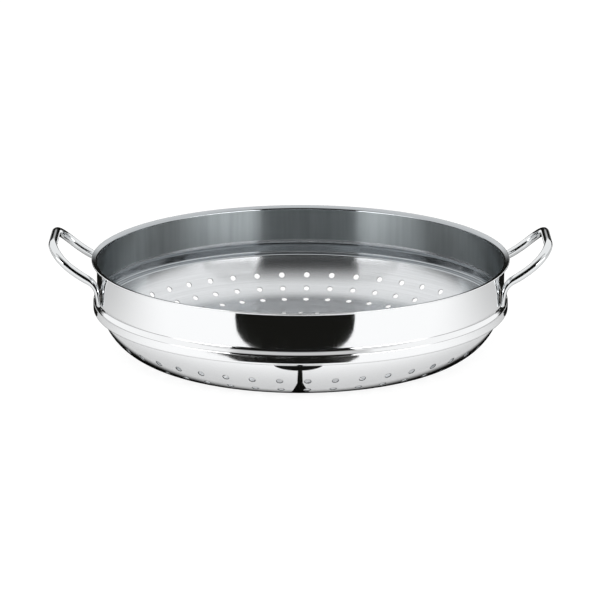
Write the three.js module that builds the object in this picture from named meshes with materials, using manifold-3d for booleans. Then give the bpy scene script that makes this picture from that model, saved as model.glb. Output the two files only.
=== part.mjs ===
// Perforated steel steamer insert that hangs in a wok, in millimetres, +Z up.
// One drawn sheet shell, two bent rod handles, and the weld metal under each handle foot.
import * as THREE from "three";
import Module from "manifold-3d";

// Shell
const RIM_R = 180; // outside of the flared rim
const LIP_REACH = 4.4; // rim beyond the outside of the wall
const LIP_TURN = THREE.MathUtils.degToRad(78); // how far the rim flares from upright
const LIP_BEND = 2.0; // mid-sheet, from the wall to the flat flare
const BEAD_REACH = 3.4; // bead beyond the outside of the wall
const BOWL_INSET = 3.4; // outside of the wall to the mid-sheet of the bowl's top
const SHEET = 1.0;
const LEDGE_Z = 37; // underside of the ledge that sits on the wok rim
const BEAD_TALL = 8.6; // from there to where the bead turns in
const BEAD_SLOPE = 3.6; // height over which the bead turns in to the wall
const WALL_TALL = 32.8; // wall foot to rim
const BEAD_BEND = 2.0;
const WALL_FOOT_BEND = 4.5; // mid-sheet, from the bead's slope to the wall
const LEDGE_BEND = 1.5;
const BOWL_LEAN = THREE.MathUtils.degToRad(15);
const BOWL_STRAIGHT = 1.5; // short straight part between the bowl's bend and the ledge
const AROUND = 60;
const BOWL_STEPS = 6;
const LEDGE_STEPS = 1;
const BEAD_FOOT_STEPS = 2;
const BEAD_TOP_STEPS = 1;
const WALL_FOOT_STEPS = 3;
const LIP_STEPS = 2;

// Holes
const HOLE_R = 2.5;
const HOLE_SIDES = 6;
const HOLE_CUT = 8; // length of the punch
const MERGE = 0.002; // small triangles left by the cuts are merged within this
const SIDE_ROWS = 3;
const SIDE_HOLES = 45;
const SIDE_FIRST = THREE.MathUtils.degToRad(36.3); // below the level of the bend's centre
const SIDE_STEP = THREE.MathUtils.degToRad(17.1);
const FLOOR_ROWS = [
  { share: 0.85, count: 45 },
  { share: 0.64, count: 30 },
  { share: 0.43, count: 18 },
  { share: 0.22, count: 10 },
];

// Handles
const ROD_R = 3.75;
const LEG_SPREAD = 83.5; // between the legs of one handle
const GRIP_NARROWING = 2.6; // the loop is narrower at the grip
const GRIP_BEND = 22;
const FOOT_DIP = 1.5; // the foot runs a little way down over the wall foot's bend
const FOOT_HALF_THICK = 1.5; // the rod is pressed flat where it is welded
const FOOT_HALF_WIDE = 5.4;
const FLAT_LENGTH = 31; // from the foot to the full round rod
const LEG_BELOW_RIM = 21.9; // straight part of the leg to the rim, along the wall
const LEG_ANGLE = THREE.MathUtils.degToRad(86);
const BEND_R = 14.8;
const ARM_START = THREE.MathUtils.degToRad(29.4);
const ARM_END = THREE.MathUtils.degToRad(51.2);
const ARM_R = 107;
const ROD_SIDES = 12;
const LEG_STEPS = 3;
const BEND_STEPS = 6;
const ARM_STEPS = 3;
const CORNER_STEPS = 7;
const ROUND = 2; // exponent of a round section
const FOOT_SQUARENESS = 2.6; // the flat foot has fuller corners
const SEAM = 0.6; // between foot and wall, filled by the weld

// Welds
const WELD_AIR = 0.06;
const WELD_HALF_WIDE = 3.4;
const WELD_HALF_TALL = 6;
const WELD_RISE = 8.5; // weld centre above the foot
const WELD_SIDES = 16;

const steel = (color, roughness) =>
  new THREE.MeshStandardMaterial({ color, roughness, metalness: 1 });
const bodySteel = steel(0xcfd2d4, 0.22);
const rodSteel = steel(0xd6d8da, 0.12);
const weldSteel = steel(0xa9abad, 0.45);

const wasm = await Module();
wasm.setup();

function toSolid(geometry) {
  const { array } = geometry.attributes.position;
  const triVerts = geometry.index
    ? Uint32Array.from(geometry.index.array)
    : Uint32Array.from({ length: array.length / 3 }, (_, i) => i);
  const mesh = new wasm.Mesh({ numProp: 3, vertProperties: Float32Array.from(array), triVerts });
  mesh.merge();
  return new wasm.Manifold(mesh);
}

function toGeometry(solid) {
  const mesh = solid.getMesh();
  const geometry = new THREE.BufferGeometry();
  geometry.setAttribute("position", new THREE.BufferAttribute(mesh.vertProperties, 3));
  geometry.setIndex(new THREE.BufferAttribute(mesh.triVerts, 1));
  geometry.computeVertexNormals();
  return geometry;
}

// Points of an arc and the heading at each, from one heading to another, in a few steps
function arc(start, fromHeading, toHeading, radius, steps) {
  const side = Math.sign(toHeading - fromHeading);
  const centre = new THREE.Vector2(
    start.x - side * radius * Math.sin(fromHeading),
    start.y + side * radius * Math.cos(fromHeading),
  );
  return Array.from({ length: steps + 1 }, (_, i) => {
    const heading = fromHeading + ((toHeading - fromHeading) * i) / steps;
    return {
      point: new THREE.Vector2(
        centre.x + side * radius * Math.sin(heading),
        centre.y - side * radius * Math.cos(heading),
      ),
      heading,
    };
  });
}

// Rounds each corner of a path of (r, z) corners, keeping the heading at each point
function roundedPath(corners) {
  const path = [];
  corners.forEach(({ at, bend, steps }, i) => {
    const before = corners[i - 1]?.at;
    const after = corners[i + 1]?.at;
    const cameIn = before && Math.atan2(at.y - before.y, at.x - before.x);
    const goesOut = after && Math.atan2(after.y - at.y, after.x - at.x);
    if (!before || !after) {
      path.push({ point: at, heading: before ? cameIn : goesOut });
      return;
    }
    const reach = bend * Math.tan(Math.abs(goesOut - cameIn) / 2);
    const start = new THREE.Vector2(
      at.x - reach * Math.cos(cameIn),
      at.y - reach * Math.sin(cameIn),
    );
    path.push(...arc(start, cameIn, goesOut, bend, steps));
  });
  return path;
}

const wallR = RIM_R - LIP_REACH;
const beadR = wallR + BEAD_REACH;
const bowlTopR = wallR - BOWL_INSET;
const beadTopZ = LEDGE_Z + BEAD_TALL;
const wallFootZ = beadTopZ + BEAD_SLOPE;
const height = wallFootZ + WALL_TALL;
const midWallR = wallR - SHEET / 2;
const midBeadR = beadR - SHEET / 2;
const midFloorZ = SHEET / 2;
const midLedgeZ = LEDGE_Z + SHEET / 2;
const bowlCornerR = bowlTopR - (midLedgeZ - midFloorZ) * Math.tan(BOWL_LEAN);
const bowlReach = (midLedgeZ - midFloorZ) / Math.cos(BOWL_LEAN) - BOWL_STRAIGHT;
const bowlR = bowlReach / Math.tan((Math.PI / 2 - BOWL_LEAN) / 2); // mid-sheet
const floorFlatR = bowlCornerR - bowlReach;
const lipTip = (SHEET / 2) * Math.cos(LIP_TURN); // the cut edge reaches past the mid-sheet line
const lipBendReach = LIP_BEND * (1 - Math.cos(LIP_TURN));
const lipFlat = (RIM_R - lipTip - midWallR - lipBendReach) / Math.sin(LIP_TURN);
const lipRise = (LIP_BEND + SHEET / 2) * Math.sin(LIP_TURN) + lipFlat * Math.cos(LIP_TURN);
const lipStart = new THREE.Vector2(midWallR, height - lipRise);

const middle = roundedPath([
  { at: new THREE.Vector2(0, midFloorZ) },
  { at: new THREE.Vector2(bowlCornerR, midFloorZ), bend: bowlR, steps: BOWL_STEPS },
  { at: new THREE.Vector2(bowlTopR, midLedgeZ), bend: LEDGE_BEND, steps: LEDGE_STEPS },
  { at: new THREE.Vector2(midBeadR, midLedgeZ), bend: BEAD_BEND, steps: BEAD_FOOT_STEPS },
  { at: new THREE.Vector2(midBeadR, beadTopZ), bend: BEAD_BEND, steps: BEAD_TOP_STEPS },
  { at: new THREE.Vector2(midWallR, wallFootZ), bend: WALL_FOOT_BEND, steps: WALL_FOOT_STEPS },
  { at: lipStart },
]);
middle.pop();
middle.push(...arc(lipStart, Math.PI / 2, Math.PI / 2 - LIP_TURN, LIP_BEND, LIP_STEPS));
const lipFoot = middle.at(-1);
middle.push({
  point: new THREE.Vector2(
    lipFoot.point.x + lipFlat * Math.sin(LIP_TURN),
    lipFoot.point.y + lipFlat * Math.cos(LIP_TURN),
  ),
  heading: lipFoot.heading,
});

// Offsets the mid-sheet path to one face of the sheet
const face = (distance) =>
  middle.map(({ point, heading }) =>
    new THREE.Vector2(
      Math.max(0, point.x + distance * Math.sin(heading)),
      point.y - distance * Math.cos(heading),
    ),
  );

function makeShell() {
  const outside = face(SHEET / 2);
  const inside = face(-SHEET / 2);
  const lathe = new THREE.LatheGeometry([...outside, ...inside.reverse()], AROUND);
  lathe.rotateX(Math.PI / 2);
  lathe.deleteAttribute("normal");
  lathe.deleteAttribute("uv");
  const blank = toSolid(lathe).asOriginal();

  const punch = new THREE.CylinderGeometry(HOLE_R, HOLE_R, HOLE_CUT, HOLE_SIDES);
  punch.deleteAttribute("normal");
  punch.deleteAttribute("uv");
  const along = new THREE.Vector3(0, 1, 0);
  const punches = [];
  const punchAt = (r, z, turn, outR, outZ) => {
    const out = new THREE.Vector3(outR * Math.cos(turn), outR * Math.sin(turn), outZ);
    const spot = new THREE.Quaternion().setFromUnitVectors(along, out);
    const tool = punch.clone().applyQuaternion(spot);
    tool.translate(r * Math.cos(turn), r * Math.sin(turn), z);
    punches.push(toSolid(tool));
  };
  const bowlCentreZ = midFloorZ + bowlR;
  for (let row = 0; row < SIDE_ROWS; row++) {
    const down = SIDE_FIRST + row * SIDE_STEP;
    for (let i = 0; i < SIDE_HOLES; i++) {
      const turn = (2 * Math.PI * i) / SIDE_HOLES;
      const r = floorFlatR + bowlR * Math.cos(down);
      punchAt(r, bowlCentreZ - bowlR * Math.sin(down), turn, Math.cos(down), -Math.sin(down));
    }
  }
  for (const { share, count } of FLOOR_ROWS) {
    for (let i = 0; i < count; i++) {
      const turn = Math.PI / 2 + (2 * Math.PI * i) / count;
      punchAt(share * floorFlatR, midFloorZ, turn, 0, -1);
    }
  }
  const tools = wasm.Manifold.union(punches);
  return toGeometry(blank.subtract(tools).asOriginal().simplify(MERGE));
}

// Closed body through rings of points, with flat ends
function loft(rings) {
  const sides = rings[0].length;
  const position = rings.flat().flatMap((p) => [p.x, p.y, p.z]);
  const index = [];
  for (let k = 0; k + 1 < rings.length; k++) {
    for (let i = 0; i < sides; i++) {
      const a = k * sides + i;
      const b = k * sides + ((i + 1) % sides);
      index.push(a, b, a + sides, b, b + sides, a + sides);
    }
  }
  const last = (rings.length - 1) * sides;
  for (let i = 1; i + 1 < sides; i++) {
    index.push(0, i + 1, i, last, last + i, last + i + 1);
  }
  const geometry = new THREE.BufferGeometry();
  geometry.setAttribute("position", new THREE.Float32BufferAttribute(position, 3));
  geometry.setIndex(index);
  geometry.computeVertexNormals();
  return geometry;
}

const wallFootReach = WALL_FOOT_BEND * Math.tan(Math.atan2(BEAD_REACH, BEAD_SLOPE) / 2);
const footZ = wallFootZ + wallFootReach - FOOT_DIP;
const legLength = height - footZ - LEG_BELOW_RIM;
const gripSpread = LEG_SPREAD - GRIP_NARROWING;
const footR = wallR + SEAM + FOOT_HALF_THICK;
const legTurn = Math.asin(LEG_SPREAD / 2 / footR);

// Side view of the handle: how far out and how high the rod is, by length along it
function sideView() {
  const foot = new THREE.Vector2(footR * Math.cos(legTurn), footZ);
  const legTop = new THREE.Vector2(
    foot.x + legLength * Math.cos(LEG_ANGLE),
    foot.y + legLength * Math.sin(LEG_ANGLE),
  );
  const bendEnd = legLength + BEND_R * (LEG_ANGLE - ARM_START);
  const total = bendEnd + ARM_R * (ARM_END - ARM_START);
  const headingAt = (length) => {
    if (length <= legLength) return LEG_ANGLE;
    if (length <= bendEnd) return LEG_ANGLE - (length - legLength) / BEND_R;
    return ARM_START + (length - bendEnd) / ARM_R;
  };
  const armFoot = arc(legTop, LEG_ANGLE, ARM_START, BEND_R, 1)[1].point;
  const at = (length) => {
    if (length <= legLength) return foot.clone().lerp(legTop, length / legLength);
    if (length < bendEnd) return arc(legTop, LEG_ANGLE, headingAt(length), BEND_R, 1)[1].point;
    if (length === bendEnd) return armFoot;
    return arc(armFoot, ARM_START, headingAt(length), ARM_R, 1)[1].point;
  };
  return { at, headingAt, total, bendEnd };
}

// Stations from one foot to the other: length along the side view and distance across
function loopStations() {
  const { total, bendEnd } = sideView();
  const cornerStart = total - GRIP_BEND;
  const across = (length) => {
    const part = THREE.MathUtils.clamp((length - bendEnd) / (total - bendEnd), 0, 1);
    return THREE.MathUtils.lerp(LEG_SPREAD, gripSpread, part) / 2;
  };
  const spread = (from, to, steps) =>
    Array.from({ length: steps }, (_, i) => from + ((to - from) * i) / steps);
  const lengths = [
    ...spread(0, legLength, LEG_STEPS),
    ...spread(legLength, bendEnd, BEND_STEPS),
    ...spread(bendEnd, cornerStart, ARM_STEPS),
  ];
  const half = lengths.map((length) => ({ length, across: across(length) }));
  for (let i = 0; i <= CORNER_STEPS; i++) {
    const turn = (Math.PI / 2) * (i / CORNER_STEPS);
    half.push({
      length: cornerStart + GRIP_BEND * Math.sin(turn),
      across: across(cornerStart) - GRIP_BEND * (1 - Math.cos(turn)),
    });
  }
  const mirrored = half.map(({ length, across: y }) => ({ length, across: -y })).reverse();
  return [...half, ...mirrored];
}

// Handle on the +X side
function makeHandle() {
  const { at, headingAt } = sideView();
  const stations = loopStations();
  const centres = stations.map(({ length, across }) => {
    const p = at(length);
    return new THREE.Vector3(p.x, across, p.y);
  });
  const rings = centres.map((centre, k) => {
    const { length, across } = stations[k];
    const before = centres[Math.max(k - 1, 0)];
    const after = centres[Math.min(k + 1, centres.length - 1)];
    const isEnd = k === 0 || k === centres.length - 1;
    const heading = isEnd
      ? new THREE.Vector3(0, 0, k === 0 ? 1 : -1)
      : after.clone().sub(before).normalize();
    const grown = THREE.MathUtils.smoothstep(length, 0, FLAT_LENGTH);
    const halfThick = THREE.MathUtils.lerp(FOOT_HALF_THICK, ROD_R, grown);
    const halfWide = THREE.MathUtils.lerp(FOOT_HALF_WIDE, ROD_R, grown);
    const squareness = THREE.MathUtils.lerp(FOOT_SQUARENESS, ROUND, grown);
    const lean = Math.sign(across) * legTurn * (1 - grown);
    const rise = headingAt(length);
    const outward = new THREE.Vector3(
      Math.sin(rise) * Math.cos(lean),
      Math.sin(rise) * Math.sin(lean),
      -Math.cos(rise),
    );
    const wide = new THREE.Vector3().crossVectors(heading, outward).normalize();
    const thick = new THREE.Vector3().crossVectors(wide, heading);
    return Array.from({ length: ROD_SIDES }, (_, i) => {
      const turn = (2 * Math.PI * (i + 0.5)) / ROD_SIDES;
      const round = (value) => Math.sign(value) * Math.abs(value) ** (2 / squareness);
      return centre
        .clone()
        .addScaledVector(thick, halfThick * round(Math.cos(turn)))
        .addScaledVector(wide, halfWide * round(Math.sin(turn)));
    });
  });
  return loft(rings);
}

// Weld metal between one foot and the wall, as an upright oval
function makeWeld() {
  const oval = new THREE.Shape().absellipse(
    0, 0, WELD_HALF_WIDE, WELD_HALF_TALL, 0, 2 * Math.PI,
  );
  const geometry = new THREE.ExtrudeGeometry(oval, {
    depth: SEAM - 2 * WELD_AIR,
    bevelEnabled: false,
    curveSegments: WELD_SIDES,
  });
  geometry.rotateX(Math.PI / 2);
  geometry.rotateZ(Math.PI / 2);
  geometry.translate(wallR + WELD_AIR, 0, footZ + WELD_RISE);
  return geometry;
}

const insert = new THREE.Group();
insert.name = "wok_steamer_insert";

const shell = new THREE.Mesh(makeShell(), bodySteel);
shell.name = "steamer_bowl";
insert.add(shell);

const handleGeometry = makeHandle();
const weldGeometry = makeWeld();
for (const { side, turn } of [{ side: "right", turn: 0 }, { side: "left", turn: Math.PI }]) {
  const group = new THREE.Group();
  group.name = `${side}_handle_group`;
  group.rotation.z = turn;
  const handle = new THREE.Mesh(handleGeometry.clone(), rodSteel);
  handle.name = `${side}_handle`;
  group.add(handle);
  for (const end of [1, -1]) {
    const weld = new THREE.Mesh(weldGeometry.clone(), weldSteel);
    const isRear = end * Math.cos(turn) > 0;
    weld.name = `${side}_${isRear ? "rear" : "front"}_weld`;
    weld.rotation.z = end * legTurn;
    group.add(weld);
  }
  insert.add(group);
}

export default insert;
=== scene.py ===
"""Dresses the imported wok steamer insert: sheet shell, rod handles, welds and a plain stage."""

import math
from typing import NamedTuple

import bpy
from bpy.props import FloatProperty, FloatVectorProperty, PointerProperty
from mathutils import Matrix, Vector


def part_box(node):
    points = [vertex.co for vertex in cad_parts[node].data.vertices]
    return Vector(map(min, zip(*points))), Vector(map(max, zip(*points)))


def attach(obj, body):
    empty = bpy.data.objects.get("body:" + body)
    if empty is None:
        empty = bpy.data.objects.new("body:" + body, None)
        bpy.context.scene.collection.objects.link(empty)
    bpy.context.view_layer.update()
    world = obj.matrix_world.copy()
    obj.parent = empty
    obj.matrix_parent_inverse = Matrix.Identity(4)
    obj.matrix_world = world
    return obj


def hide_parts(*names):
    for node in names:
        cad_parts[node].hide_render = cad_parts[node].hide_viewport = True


bl_info = {
    "name": "Wok Steamer Insert",
    "version": (1, 0, 0),
    "blender": (4, 5, 0),
    "location": "3D View > Sidebar > Steamer",
    "description": "Builds a perforated steel steamer insert for a wok on its packed frame",
    "category": "Object",
}

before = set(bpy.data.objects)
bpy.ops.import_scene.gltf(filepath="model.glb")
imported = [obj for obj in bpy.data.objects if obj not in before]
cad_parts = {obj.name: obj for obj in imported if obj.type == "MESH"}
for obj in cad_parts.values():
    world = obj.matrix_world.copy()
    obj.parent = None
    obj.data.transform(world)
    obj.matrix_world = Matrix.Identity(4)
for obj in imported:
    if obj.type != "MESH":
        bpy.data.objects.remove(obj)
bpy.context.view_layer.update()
_, BOWL_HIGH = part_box("steamer_bowl")
BODY = "root"

MM = 0.001
QUARTER = math.pi / 2
FULL_TURN = 2 * math.pi
LEVEL_AXES = (1, 1, 0)

# How finely the curved surfaces are divided
AROUND = 180
SIDE_CUTS = 4
BEND_STEP = math.radians(8)
EDGE_CUTS = 3
ROD_SIDES = 32
LEG_STEPS = 6
LEG_BEND_STEPS = 16
ARM_STEPS = 8
GRIP_BEND_STEPS = 14
GRIP_STEPS = 3
WELD_SIDES = 40
CARD_STEP = math.pi / 24

# Rings of points from a hole to the edge of its cell, as shares of the way
HOLE_FIELD = (0.0, 0.32, 0.62, 1.0)

# Points nearer than this are one point
SAME_PLACE = 0.0001 * MM

# Rows of holes in the flat floor: share of its radius, and holes in the row
FLOOR_ROWS = ((0.22, 10), (0.43, 18), (0.64, 30), (0.85, 45))
FLOOR_ROW_STEP = 0.21
SIDE_ROWS = 3
SIDE_HOLES = 45

# Places of some runs in the shell's section, counted from the floor's centre
BOWL_BEND = 1
LEDGE_BEND = 3
WALL_FOOT_BEND = 9
WALL_STRAIGHT = 10
LIP_BEND = 11

# Places of some runs in a handle's side view, counted from the foot
LEG_BEND = 1
ARM_CURVE = 2

# Power of the rod's outline: a circle has 2, and a higher one is squarer
ROUND_POWER = 2.0
FLAT_POWER = 2.8

# Lower half of a weld in section: share of its depth, and share of its outline
WELD_LAYERS = ((0.0, 0.35), (0.0, 0.8), (0.0, 0.95), (0.25, 1.0))

# Waves of a weld's uneven edge: how many go round, their phase, and their share of the outline
WELD_WAVES = ((5, 1.0, 0.02), (9, 0.0, 0.015))

# Share of the seam that stays open on each side of the weld
WELD_AIR = 0.1

# Roughness of each finish where it is smoothest and roughest
POLISHED_GLOSS = (0.03, 0.09)
SATIN_GLOSS = (0.18, 0.2)
WALL_GLOSS = (0.272, 0.282)
DRAWN_GLOSS = (0.05, 0.09)
PUNCHED_GLOSS = (0.3, 0.45)
ROD_GLOSS = (0.03, 0.06)
WELD_GLOSS = (0.45, 0.45)

# Tool marks on the sheet: their spacing and their length
WHEEL_LINES = (1.2 * MM, 90 * MM)
ABRASIVE_LINES = (1.4 * MM, 90 * MM)
# The wall's upright streaks darken its colour in bands: painted sheen for its uneven brushed
# reflections
WALL_SHEEN_STREAKS = (120 * MM, 9 * MM)
DIE_LINES = (1.5 * MM, 200 * MM)

# Width of the marks on the hole edges, rod and welds
TEAR = 0.5 * MM
SCUFF = 9 * MM
RIPPLE = 6 * MM


def srgb(code):
    """Linear RGBA of an sRGB hex colour."""
    channels = (int(code[i : i + 2], 16) / 255 for i in (0, 2, 4))
    linear = (c / 12.92 if c <= 0.04045 else ((c + 0.055) / 1.055) ** 2.4 for c in channels)
    return (*linear, 1.0)


def length_prop(name, description, default):
    """A size in metres that a user would change."""
    return FloatProperty(
        name=name, description=description, default=default, min=0.0, unit="LENGTH", precision=4
    )


def angle_prop(name, description, degrees):
    """An angle that a user would change."""
    return FloatProperty(
        name=name, description=description, default=math.radians(degrees), subtype="ANGLE"
    )


def colour_prop(name, description, code):
    """A colour that a user would change, from its sRGB hex value."""
    return FloatVectorProperty(
        name=name, description=description, default=srgb(code), size=4, min=0, max=1, subtype="COLOR"
    )


def level_prop(name, description, default):
    """A light level that a user would change."""
    return FloatProperty(name=name, description=description, default=default, min=0.0)


class ShellSizes(bpy.types.PropertyGroup):
    """Sizes of the drawn and punched sheet shell."""

    rim_radius: length_prop("Rim radius", "Outside of the flared rim", BOWL_HIGH[0])
    height: length_prop("Height", "Floor underside to rim", BOWL_HIGH[2])
    sheet: length_prop("Sheet", "Thickness of the steel", 1.0 * MM)
    wall_radius: length_prop("Wall radius", "Outside of the upright wall", 175.6 * MM)
    lip_turn: angle_prop("Rim flare", "How far the rim turns out from upright", 78)
    lip_bend: length_prop("Rim bend", "Mid-sheet bend radius from wall to flare", 2.0 * MM)
    bead_radius: length_prop("Bead radius", "Outside of the bead", 179 * MM)
    ledge_height: length_prop("Ledge", "Underside of the ledge that rests on the wok", 37 * MM)
    bead_top: length_prop("Bead top", "Height where the bead turns in to the wall", 45.6 * MM)
    wall_foot: length_prop("Wall foot", "Height where the wall begins", 49.2 * MM)
    bead_bend: length_prop("Bead bends", "Mid-sheet bend radius along the bead", 2.0 * MM)
    wall_foot_bend: length_prop("Wall foot bend", "Mid-sheet bend radius, bead to wall", 4.5 * MM)
    ledge_bend: length_prop("Ledge bend", "Mid-sheet bend radius at the ledge's edge", 1.5 * MM)
    bowl_straight: length_prop("Bowl straight", "Straight part between bend and ledge", 1.5 * MM)
    bowl_lean: angle_prop("Bowl lean", "Lean of the bowl's side under the ledge", 15)
    bowl_top: length_prop("Bowl top", "Mid-sheet radius where the bowl meets the ledge", 172.2 * MM)
    hole_radius: length_prop("Hole radius", "Radius of the punched holes", 2.5 * MM)
    hole_edge: length_prop("Hole edge", "Rounding of the punched edges", 0.45 * MM)
    hole_dish: length_prop("Hole dish", "Width of the ring that the punch drags in", 0.6 * MM)
    hole_roll: angle_prop("Hole roll", "Dip of the outside where the rounded edge begins", 32)
    first_row: angle_prop("First row", "Top row of holes, below the bend's centre", 36.3)
    row_step: angle_prop("Row step", "Between rows of holes round the bend", 17.1)


class HandleSizes(bpy.types.PropertyGroup):
    """Sizes of the bent rod handles and the welds under their feet."""

    rod_radius: length_prop("Rod radius", "Radius of the round rod", 3.74 * MM)
    leg_spread: length_prop("Leg spread", "Between the legs of one handle", 83.5 * MM)
    grip_spread: length_prop("Grip spread", "The same at the narrower grip", 80.9 * MM)
    grip_bend: length_prop("Grip bend", "Bend radius at the ends of the grip", 22 * MM)
    foot_dip: length_prop("Foot dip", "Reach of the foot over the wall foot's bend", 1.5 * MM)
    foot_thick: length_prop("Foot thickness", "Half thickness of the flattened foot", 1.5 * MM)
    foot_wide: length_prop("Foot width", "Half width of the flattened foot", 5.4 * MM)
    foot_edge: length_prop("Foot edge", "Rounding of the foot's cut end", 0.5 * MM)
    flat_length: length_prop("Flattened length", "From the foot to the full round rod", 31 * MM)
    leg_below_rim: length_prop("Leg below rim", "From the leg's bend up to the rim", 21.9 * MM)
    leg_angle: angle_prop("Leg angle", "Rise of the leg from level", 86)
    bend_radius: length_prop("Leg bend", "Bend from leg to arm", 14.8 * MM)
    arm_start: angle_prop("Arm start", "Rise of the arm beside the leg", 29.4)
    arm_end: angle_prop("Arm end", "Rise of the arm at the grip", 51.2)
    arm_radius: length_prop("Arm curve", "Radius of the arm's gentle upward curve", 107 * MM)
    seam: length_prop("Seam", "Gap between foot and wall that the weld fills", 0.6 * MM)
    weld_wide: length_prop("Weld width", "Half width of the weld", 3.4 * MM)
    weld_tall: length_prop("Weld height", "Half height of the weld", 6 * MM)
    weld_rise: length_prop("Weld rise", "Weld centre above the end of the foot", 8.5 * MM)


class FinishColours(bpy.types.PropertyGroup):
    """Colours of the metal finishes."""

    polished: colour_prop("Polished steel", "Mirror-polished outside", "f2f3f4")
    satin: colour_prop("Satin steel", "Turned satin bowl", "e2e4e6")
    satin_line: colour_prop("Satin line", "Darker lines left by the abrasive", "dadcde")
    # Darker than the satin bowl: painted shade in the groove inside the bead; the lip's top takes the
    # same colour
    drawn: colour_prop("Drawn steel", "Groove inside the bead, and the lip's top", "b6babd")
    # Dark both as the dull sheared hole wall and as painted shade in a ring on each hole's rounded
    # outside edge
    punched: colour_prop("Punched edge", "Sheared edge of the holes", "626466")
    # Much darker than the satin bowl of the same sheet: painted shade for the dark that the wall
    # reflects
    wall: colour_prop("Wall steel", "Brushed inside of the wall", "a8aeb0")
    # Painted sheen: darker upright streaks that stand for the wall's uneven reflections
    wall_streak_sheen: colour_prop("Wall line", "Soft upright streaks left by the tool", "9ca2a4")
    rod: colour_prop("Rod steel", "Buffed handle rod", "e4e6e7")
    weld: colour_prop("Weld steel", "Fused metal under the feet", "a5a6a7")
    weld_tint: colour_prop("Weld heat tint", "Faint straw tint of the weld", "aaa59b")


class StageSettings(bpy.types.PropertyGroup):
    """Camera, floor and what the polished metal reflects."""

    floor: colour_prop("Floor", "Plain pale floor", "727272")
    floor_lift: level_prop("Floor lift", "Evens the floor to white", 0.9)
    # The dark colour also paints the insert's shadow on the floor, seen only in reflections
    dark: colour_prop("Dark gap", "Unlit side of the studio, seen only in reflections", "151513")
    front_light: level_prop("Front light", "Low tent wall beside the camera", 7.0)
    side_light: level_prop("Side light", "Low tent wall at the sides and behind", 0.38)
    top_light: level_prop("Top light", "Tent roof", 1.02)
    camera_distance: length_prop("Camera distance", "From the aim point", 2876 * MM)
    camera_rise: angle_prop("Camera rise", "Elevation of the camera", 15.84)
    aim_side: FloatProperty(
        name="Aim side", description="Aim point across", default=-0.5 * MM, unit="LENGTH"
    )
    aim_height: length_prop("Aim height", "Aim point above the floor", 42.67 * MM)
    lens: FloatProperty(
        name="Lens", description="Focal length in millimetres", default=199.4, unit="CAMERA"
    )
    sensor: FloatProperty(
        name="Sensor", description="Sensor width in millimetres", default=36.0, unit="CAMERA"
    )


class SheetPath:
    """A section line made of straight runs and bends, read by the length along it."""

    def __init__(self, start, heading):
        self.end = Vector(start)
        self.heading = heading
        self.length = 0.0
        self.runs = []

    def _add(self, distance, curve):
        self.runs.append((self.length, self.end.copy(), self.heading, curve))
        self.length += distance
        self.end, self.heading = self.at(self.length)

    def straight(self, distance):
        """Goes on straight."""
        self._add(distance, 0.0)

    def bend(self, radius, turn):
        """Goes round a bend: a positive turn is to the left."""
        self._add(radius * abs(turn), math.copysign(1 / radius, turn))

    def start(self, run):
        """Length along the line where a run begins."""
        return self.runs[run][0]

    def at(self, length):
        """(point, heading) at a length along the line."""
        began, start, heading, curve = next(
            (run for run in reversed(self.runs) if run[0] <= length), self.runs[0]
        )
        gone = length - began
        if curve == 0:
            return start + gone * Vector((math.cos(heading), math.sin(heading))), heading
        now = heading + curve * gone
        swing = Vector((math.sin(now) - math.sin(heading), math.cos(heading) - math.cos(now)))
        return start + swing / curve, now

    def cuts(self, start, end):
        """Lengths from start to end that follow the bends closely."""
        places = [start]
        ends = [run[0] for run in self.runs[1:]] + [self.length]
        for (began, _, _, curve), stop in zip(self.runs, ends, strict=True):
            low, high = max(began, start), min(stop, end)
            if high <= low:
                continue
            steps = max(1, math.ceil(abs(curve) * (high - low) / BEND_STEP))
            places += [low + (high - low) * (i + 1) / steps for i in range(steps)]
        return places


class Skin:
    """Points with their normals and the faces between them. Points in one place are shared."""

    def __init__(self):
        self.points = []
        self.normals = []
        self.faces = []
        self.kinds = []
        self.known = {}

    def point(self, place, normal):
        """Number of the point at a place."""
        key = tuple(round(c / SAME_PLACE) for c in place)
        if key not in self.known:
            self.known[key] = len(self.points)
            self.points.append(place)
            self.normals.append(normal)
        return self.known[key]

    def face(self, corners, kind):
        """A face with its repeated corners left out; one with no area is skipped."""
        lone = [c for i, c in enumerate(corners) if c != corners[i - 1]]
        if len(lone) > 2:
            self.faces.append(lone)
            self.kinds.append(kind)

    def band(self, low, high, kind, flip=False):
        """A closed ring of faces between two rows of points."""
        for i, a in enumerate(low):
            j = (i + 1) % len(low)
            corners = [a, low[j], high[j], high[i]]
            self.face(corners[::-1] if flip else corners, kind)

    def to_object(self, name, materials):
        """A smooth mesh object that keeps the normals given with the points."""
        mesh = bpy.data.meshes.new(name)
        mesh.from_pydata([tuple(p) for p in self.points], [], self.faces)
        for material in materials:
            mesh.materials.append(material)
        mesh.polygons.foreach_set("material_index", self.kinds)
        mesh.shade_smooth()
        mesh.normals_split_custom_set_from_vertices([tuple(n) for n in self.normals])
        mesh.update()
        piece = bpy.data.objects.new(name, mesh)
        bpy.context.scene.collection.objects.link(piece)
        return piece


def bowl_bend(shell):
    """Mid-sheet radius of the bowl's side, which fills the height under the ledge."""
    slant = shell.ledge_height / math.cos(shell.bowl_lean) - shell.bowl_straight
    return slant / math.tan((QUARTER - shell.bowl_lean) / 2)


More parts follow.
